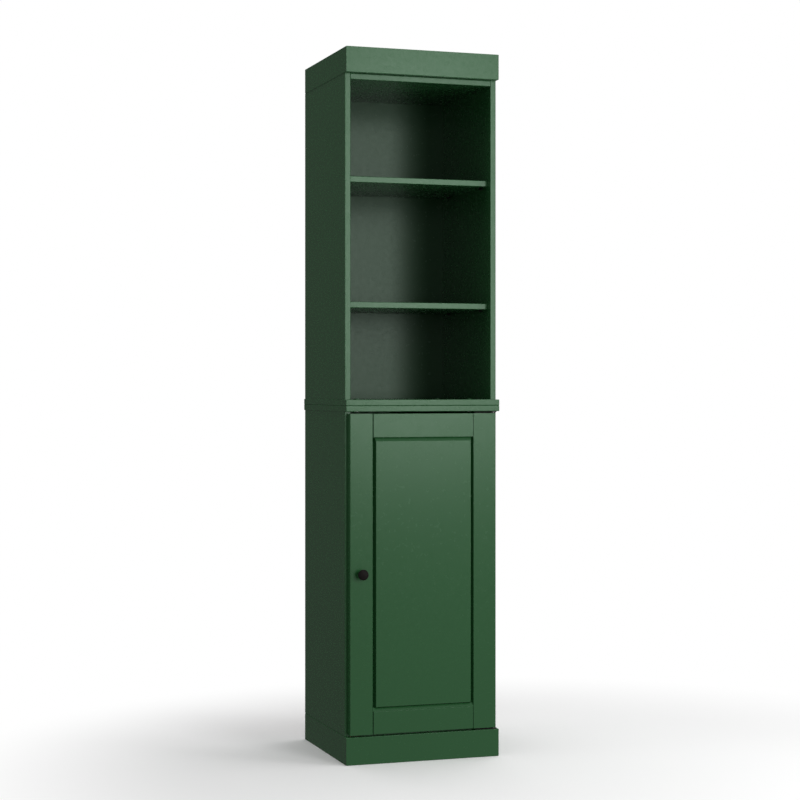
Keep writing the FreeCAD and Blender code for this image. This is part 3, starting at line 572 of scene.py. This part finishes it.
# Door: two stiles and two rails round a panel whose thick field comes up to the face and leaves an
# open channel all round. It is painted after gluing, with an open seam where rail meets stile.
DOOR_EDGE = 0.0002
finish([
    "door_left_stile", "door_right_stile", "door_top_rail", "door_bottom_rail",
], paint, DOOR_EDGE)

# Door panel: one thick board whose rim sits in the grooves of the frame. A cutter has run a channel
# round it beside the frame, pointed at the sides and with one long slope that looks up at the head
# and the foot, and the field comes up flush with the face.
RIM_REACH = 0.007
RIM_PLAY = 0.0001
RIM_THICK = 0.004
CHANNEL_SIDE = 0.0085
CHANNEL_END = 0.0105
CHANNEL_DEPTH = 0.010
CHANNEL_START = 0.0002
CHANNEL_LIP = 0.0015
FRAME_SLOPE = (0.00257, 0.0088, 0.0004, 0.0062)
CHANNEL_POINT = (0.00425, 0.0095, 0.0006, CHANNEL_DEPTH)
FIELD_SLOPE = (0.00625, 0.0102, 0.0012, 0.0060)
CHANNEL_CREASE = 28
FIELD_EASE = 0.0009
FIELD_EASE_TURNS = (0, 22.5, 45, 67.5, 90)
panel_low, panel_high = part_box("door_panel")
# Each bend of the channel: its distance from the frame at the sides, foot and head, and its depth.
channel = [
    (RIM_PLAY, RIM_PLAY, RIM_PLAY, CHANNEL_DEPTH),
    (RIM_PLAY, RIM_PLAY, RIM_PLAY, CHANNEL_START),
    FRAME_SLOPE, CHANNEL_POINT, FIELD_SLOPE,
    (CHANNEL_SIDE, CHANNEL_END, CHANNEL_END, CHANNEL_LIP),
]
for turn in FIELD_EASE_TURNS:
    angle = math.radians(turn)
    eased = FIELD_EASE * (1 - math.cos(angle))
    channel.append((
        CHANNEL_SIDE + eased, CHANNEL_END + eased, CHANNEL_END + eased,
        FIELD_EASE * (1 - math.sin(angle)),
    ))
loops = [(0, 0, 0, CHANNEL_DEPTH + RIM_THICK), (0, 0, 0, CHANNEL_DEPTH)]
for side, foot, head, depth in channel:
    loops.append((RIM_REACH + side, RIM_REACH + foot, RIM_REACH + head, depth))
routed = Turning()
for side, foot, head, depth in loops:
    left, right = panel_low[0] + side, panel_high[0] - side
    bottom, top = panel_low[2] + foot, panel_high[2] - head
    level = panel_low[1] + depth
    routed.points += [
        (left, level, bottom), (right, level, bottom), (right, level, top), (left, level, top),
    ]
for loop in range(len(loops) - 1):
    first, second = 4 * loop, 4 * loop + 4
    for corner in range(4):
        after = (corner + 1) % 4
        routed.faces.append((first + corner, first + after, second + after, second + corner))
last = 4 * (len(loops) - 1)
routed.faces += [(0, 3, 2, 1), (last, last + 1, last + 2, last + 3)]
panel = routed.piece(
    "routed-panel", paint, "door", "painted_board", "door_panel", CHANNEL_CREASE
)
panel.modifiers.new("even shading", "WEIGHTED_NORMAL").keep_sharp = True

# Knob: a turned mushroom of dark bronze, nearly black, with a rounded head on a stem that narrows
# towards the door, held by a plated pan-head screw from inside the door.
KNOB_SIDES = 64
KNOB_STEPS = 12
KNOB_DOME = 0.0085
KNOB_STEM = 0.006
# Shares of the head's radius, and of the stem's radius, with their depths behind the front.
KNOB_RIM = ((0.995, 0.0094), (0.965, 0.0099), (0.90, 0.0101), (0.76, 0.0104))
KNOB_NECK = (
    (1.45, 0.0110), (1.36, 0.0122), (1.26, 0.0142), (1.16, 0.0165), (1.08, 0.0190), (1.02, 0.0215),
)
KNOB_FOOT = 0.0006
KNOB_BORE = 0.0025
KNOB_BORE_DEPTH = 0.010
PAN_DOME = 0.45
knob_low, knob_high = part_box("knob")
knob_reach = knob_high[1] - knob_low[1]
knob_radius = (knob_high[0] - knob_low[0]) / 2
knob_fit = Fit([knob_low, knob_high], 1)
knob_fit.head = Vector((
    (knob_low[0] + knob_high[0]) / 2, knob_low[1], (knob_low[2] + knob_high[2]) / 2
))
knob_fit.way = Vector((0, 1, 0))
knob_profile = [(0, 0)]
for step in range(1, KNOB_STEPS + 1):
    angle = math.radians(90 * step / KNOB_STEPS)
    knob_profile.append((knob_radius * math.sin(angle), KNOB_DOME * (1 - math.cos(angle))))
knob_profile += [(knob_radius * share, depth) for share, depth in KNOB_RIM]
knob_profile += [(KNOB_STEM * share, depth) for share, depth in KNOB_NECK]
knob_profile += [
    (KNOB_STEM, knob_reach - KNOB_FOOT), (KNOB_STEM, knob_reach), (KNOB_BORE, knob_reach),
    (KNOB_BORE, knob_reach - KNOB_BORE_DEPTH), (0, knob_reach - KNOB_BORE_DEPTH),
]
knob = Turning()
knob.add(knob_fit, knob_profile, sides=KNOB_SIDES)
knob.piece("turned-knob", bronze, "door", "dark_metal", "knob")

knob_screw = Turning()
for fit in fits_of("knob_screw"):
    profile = head_rings(fit.head_radius, PAN_DOME * fit.head_height)
    profile += [(fit.head_radius, fit.head_height), (fit.radius, fit.head_height)]
    profile += thread(fit.radius, fit.head_height + THREAD_PITCH, fit.length)
    knob_screw.add(fit, profile, cross_recess(fit.head_radius, CROSS_DEPTH * fit.head_height))
knob_screw.piece("pan-head-screw", zinc, "door", "zinc_steel", "knob_screw")

# Bumpers: two small domes of clear soft rubber, slightly hazy, stuck behind the opening edge of the
# door so that it shuts quietly.
RUBBER = (0.80, 0.81, 0.80)
RUBBER_SHADE = 0.92
RUBBER_ROUGHNESS = (0.16, 0.30)
RUBBER_HAZE = 900
RUBBER_HAZE_DETAIL = 3
RUBBER_CLEAR = 0.85
RUBBER_REFRACTION = 1.42
BUMPER_STEPS = 8
BUMPER_DOME = 0.8
rubber = marked_finish(
    "clear rubber", (RUBBER, shaded(RUBBER, RUBBER_SHADE)), RUBBER_ROUGHNESS, RUBBER_HAZE,
    RUBBER_HAZE_DETAIL, bold=False,
)
shader_inputs(rubber)["Transmission Weight"].default_value = RUBBER_CLEAR
shader_inputs(rubber)["IOR"].default_value = RUBBER_REFRACTION
bumpers = Turning()
for fit in fits_of("door_bumpers", 1):
    dome = BUMPER_DOME * fit.length
    profile = []
    for step in range(BUMPER_STEPS + 1):
        angle = math.radians(90 * step / BUMPER_STEPS)
        profile.append((fit.radius * math.sin(angle), dome * (1 - math.cos(angle))))
    bumpers.add(fit, profile + [(fit.radius, fit.length), (0, fit.length)])
bumpers.piece("domed-bumpers", rubber, "door", "clear_rubber", "door_bumpers")

# Hinges: flat leaves of blackened steel let into the gaps above and below the door. The door's leaf
# turns on a pin in the cabinet's leaf.
LEAF_COLOURS = ((0.0060, 0.0060, 0.0060), (0.0120, 0.0115, 0.0110))
LEAF_ROUGHNESS = (0.50, 0.66)
LEAF_GLOSS = 0.06
LEAF_ROLLING = (60, 900, 900)
LEAF_ROLLING_DETAIL = 3
LEAF_ROLLING_DEPTH = 0.0001
LEAF_ROLLING_STRENGTH = 0.2
LEAF_EDGE = 0.0002
black = marked_finish(
    "blackened steel", LEAF_COLOURS, LEAF_ROUGHNESS, LEAF_ROLLING, LEAF_ROLLING_DETAIL,
    LEAF_ROLLING_DEPTH, LEAF_ROLLING_STRENGTH,
)
shader_inputs(black)["Specular IOR Level"].default_value = LEAF_GLOSS
finish([
    "top_hinge_fixed_leaf", "bottom_hinge_fixed_leaf", "top_hinge_door_leaf",
    "bottom_hinge_door_leaf",
], black, LEAF_EDGE)
finish(["hinge_pins"], black)

# Hinge washers and screws: a turned white nylon washer on each pin keeps the leaves apart, and
# small plated countersunk screws hold the leaves.
NYLON = (0.78, 0.78, 0.74)
NYLON_SHADE = 0.88
NYLON_ROUGHNESS = (0.38, 0.52)
NYLON_BLOOM = 700
NYLON_BLOOM_DETAIL = 2
WASHER_EDGE = 0.15
WASHER_BORE = 0.95
nylon = marked_finish(
    "white nylon", (NYLON, shaded(NYLON, NYLON_SHADE)), NYLON_ROUGHNESS, NYLON_BLOOM,
    NYLON_BLOOM_DETAIL, bold=False,
)
washers = Turning()
for fit in fits_of("hinge_washers", 2):
    bore = fit.inner_radius * WASHER_BORE
    eased = WASHER_EDGE * fit.length
    washers.add(fit, [
        (bore, 0), (fit.head_radius - eased, 0), (fit.head_radius, eased),
        (fit.head_radius, fit.length - eased), (fit.head_radius - eased, fit.length),
        (bore, fit.length),
    ], closed=True)
washers.piece("hinge-washers-round", nylon, "cabinet", "nylon", "hinge_washers")

for name, body, node in (
    ("small-fixed-screws", "cabinet", "fixed_screws"), ("small-door-screws", "door", "door_screws"),
):
    screws = Turning()
    for fit in fits_of(node):
        sunk_screw(screws, fit)
    screws.piece(name, zinc, body, "zinc_steel", node)

# Catch: a moulded brown plastic housing screwed to the left side panel, with a dark sintered magnet
# in its front, and a plated strike plate on the door.
CATCH_BROWN = (0.20, 0.115, 0.065)
CATCH_SHADE = 0.8
CATCH_ROUGHNESS = (0.38, 0.5)
CATCH_PEBBLE = 1500
CATCH_PEBBLE_DETAIL = 2
CATCH_PEBBLE_DEPTH = 0.0001
CATCH_PEBBLE_STRENGTH = 0.3
CATCH_EDGE = 0.0006
MAGNET_DARK = (0.030, 0.030, 0.033)
MAGNET_SHADE = 1.8
MAGNET_ROUGHNESS = (0.45, 0.7)
MAGNET_GRIT = 2200
MAGNET_GRIT_DETAIL = 3
brown_plastic = marked_finish(
    "brown moulded plastic", (CATCH_BROWN, shaded(CATCH_BROWN, CATCH_SHADE)), CATCH_ROUGHNESS,
    CATCH_PEBBLE, CATCH_PEBBLE_DETAIL, CATCH_PEBBLE_DEPTH, CATCH_PEBBLE_STRENGTH, bold=False,
)
magnet = marked_finish(
    "sintered magnet", (MAGNET_DARK, shaded(MAGNET_DARK, MAGNET_SHADE)), MAGNET_ROUGHNESS,
    MAGNET_GRIT, MAGNET_GRIT_DETAIL, bold=False,
)
finish(["catch_housing"], brown_plastic, CATCH_EDGE)
finish(["catch_magnet"], magnet, LEAF_EDGE)
finish(["catch_strike"], zinc, LEAF_EDGE)

# Studio floor and backdrop: a pale matt floor that keeps the cabinet's shadow and runs out to the
# white of the backdrop. The floor's white isn't sampled as a lamp and the floor throws no light
# back on the cabinet. A weak grey fill lights it from all round.
FLOOR_SIZE = 40
FLOOR_PALE = 0.875
FLOOR_ROUGHNESS = 0.9
FLOOR_MIDDLE = (0.2, -0.3, 0.0)
FLOOR_FADE = (0.75, 1.5)
WORLD_FILL = 0.23


def grey(level):
    return (level, level, level, 1)


def seen_directly(material):
    """1 for the camera and for what mirrors or lets through, 0 for the light that is spread."""
    path = material.node_tree.nodes.new("ShaderNodeLightPath").outputs
    mirrored = worked_out(material, "MAXIMUM", path["Is Camera Ray"], path["Is Glossy Ray"])
    return worked_out(material, "MAXIMUM", mirrored, path["Is Transmission Ray"])


floor_paint, floor_shader, floor_place = new_material("pale floor")
floor_paint.cycles.emission_sampling = "NONE"
floor_shader.inputs["Base Color"].default_value = grey(FLOOR_PALE)
floor_shader.inputs["Roughness"].default_value = FLOOR_ROUGHNESS
floor_shader.inputs["Specular IOR Level"].default_value = 0.0
floor_nodes = floor_paint.node_tree.nodes
distance = floor_nodes.new("ShaderNodeVectorMath")
distance.operation = "DISTANCE"
distance.inputs[1].default_value = FLOOR_MIDDLE
join(floor_paint, floor_place, distance.inputs[0])
fade = floor_nodes.new("ShaderNodeMapRange")
fade.interpolation_type = "SMOOTHSTEP"
fade.inputs["From Min"].default_value = FLOOR_FADE[0]
fade.inputs["From Max"].default_value = FLOOR_FADE[1]
join(floor_paint, distance.outputs["Value"], fade.inputs["Value"])
faded = worked_out(floor_paint, "MULTIPLY", fade.outputs["Result"], seen_directly(floor_paint))
white = floor_nodes.new("ShaderNodeEmission")
floor_surface = floor_nodes.new("ShaderNodeMixShader")
join(floor_paint, faded, floor_surface.inputs["Fac"])
join(floor_paint, floor_shader.outputs["BSDF"], floor_surface.inputs[1])
join(floor_paint, white.outputs["Emission"], floor_surface.inputs[2])
join(floor_paint, floor_surface.outputs["Shader"], floor_nodes["Material Output"].inputs["Surface"])

half = FLOOR_SIZE / 2
floor_mesh = bpy.data.meshes.new("floor")
floor_mesh.from_pydata(
    [(-half, -half, 0), (half, -half, 0), (half, half, 0), (-half, half, 0)], [], [(0, 1, 2, 3)]
)
floor_mesh.materials.append(floor_paint)
floor = bpy.data.objects.new("floor", floor_mesh)
bpy.context.scene.collection.objects.link(floor)
floor.visible_glossy = False
floor.visible_diffuse = False

world = bpy.data.worlds.new("studio")
world.use_nodes = True
bpy.context.scene.world = world
world_nodes = world.node_tree.nodes
fill = world_nodes["Background"]
fill.inputs["Color"].default_value = grey(WORLD_FILL)
backdrop = world_nodes.new("ShaderNodeBackground")
backdrop.inputs["Color"].default_value = grey(1)
surround = world_nodes.new("ShaderNodeMixShader")
join(world, seen_directly(world), surround.inputs["Fac"])
join(world, fill.outputs["Background"], surround.inputs[1])
join(world, backdrop.outputs["Background"], surround.inputs[2])
join(world, surround.outputs["Shader"], world_nodes["World Output"].inputs["Surface"])

# Studio lights: one tall softbox in front on the right, whose soft reflection brightens the upper
# part of the front, others to the right, to the left and near the camera, and a wide overhead one.
# Each row is a name, a place, a point that it faces, a width, a height and a brightness.
SOFTBOXES = (
    ("key softbox", (1.05, -3.35, 1.62), (0.1, -0.2, 1.62), 1.0, 1.9, 7.4),
    ("right softbox", (2.5, -2.1, 0.8), (0.0, -0.1, 0.8), 0.9, 1.5, 8.5),
    ("left softbox", (-3.2, 0.0, 1.4), (-0.2, 0.0, 1.0), 1.0, 1.6, 3.2),
    ("front softbox", (-1.45, -4.3, 1.5), (0.0, 0.0, 1.3), 1.0, 2.0, 3),
    ("overhead softbox", (0.6, 0.3, 3.6), (0.6, 0.3, 0.0), 3.0, 3.0, 3.35),
)
for name, place, aim, width, height, brightness in SOFTBOXES:
    light = bpy.data.lights.new(name, "AREA")
    light.shape = "RECTANGLE"
    light.size = width
    light.size_y = height
    # The face of the light is so many times as bright as white.
    light.energy = brightness * math.pi * width * height
    lamp = bpy.data.objects.new(name, light)
    lamp.location = place
    lamp.rotation_euler = (Vector(aim) - Vector(place)).to_track_quat("-Z", "Y").to_euler()
    lamp.visible_camera = False
    bpy.context.scene.collection.objects.link(lamp)

# Studio flags: grey cloths standing beside and behind the cabinet, which keep its gloss from
# mirroring a white room. Only gloss and clear rubber see them, and they aren't sampled as lamps.
FLAG_GREY = 0.11
FLAG_HEIGHT = 5
FLAG_CORNERS = ((-4, -1.0), (-3, 2.5), (3, 2.5), (4, -1.0))
flag_cloth = new_material("grey flag cloth")[0]
flag_cloth.cycles.emission_sampling = "NONE"
flag_nodes = flag_cloth.node_tree.nodes
flag_tone = flag_nodes.new("ShaderNodeEmission")
flag_tone.inputs["Color"].default_value = grey(FLAG_GREY)
join(flag_cloth, flag_tone.outputs["Emission"], flag_nodes["Material Output"].inputs["Surface"])
flag_mesh = bpy.data.meshes.new("flags")
flag_mesh.from_pydata(
    [(x, y, z) for z in (-FLAG_HEIGHT, FLAG_HEIGHT) for x, y in FLAG_CORNERS],
    [], [(0, 1, 5, 4), (1, 2, 6, 5), (2, 3, 7, 6)],
)
flag_mesh.materials.append(flag_cloth)
flags = bpy.data.objects.new("flags", flag_mesh)
bpy.context.scene.collection.objects.link(flags)
flags.visible_camera = False
flags.visible_diffuse = False
flags.visible_shadow = False

# Camera: level, at about half the cabinet's height, to the left of it and turned to the right, with
# its frame shifted instead of tilted so that upright edges stay upright.
CAMERA_PLACE = (-1.5886, -4.72075, 0.9483)
CAMERA_TURN = -18.57
CAMERA_LENS = 85.4955
CAMERA_SENSOR = 36
CAMERA_SHIFT = -0.01694
camera_data = bpy.data.cameras.new("camera")
camera_data.lens = CAMERA_LENS
camera_data.sensor_width = CAMERA_SENSOR
camera_data.shift_y = CAMERA_SHIFT
camera = bpy.data.objects.new("camera", camera_data)
camera.location = CAMERA_PLACE
camera.rotation_euler = (math.radians(90), 0, math.radians(CAMERA_TURN))
bpy.context.scene.collection.objects.link(camera)
bpy.context.scene.camera = camera
bpy.context.scene.view_settings.view_transform = "Standard"
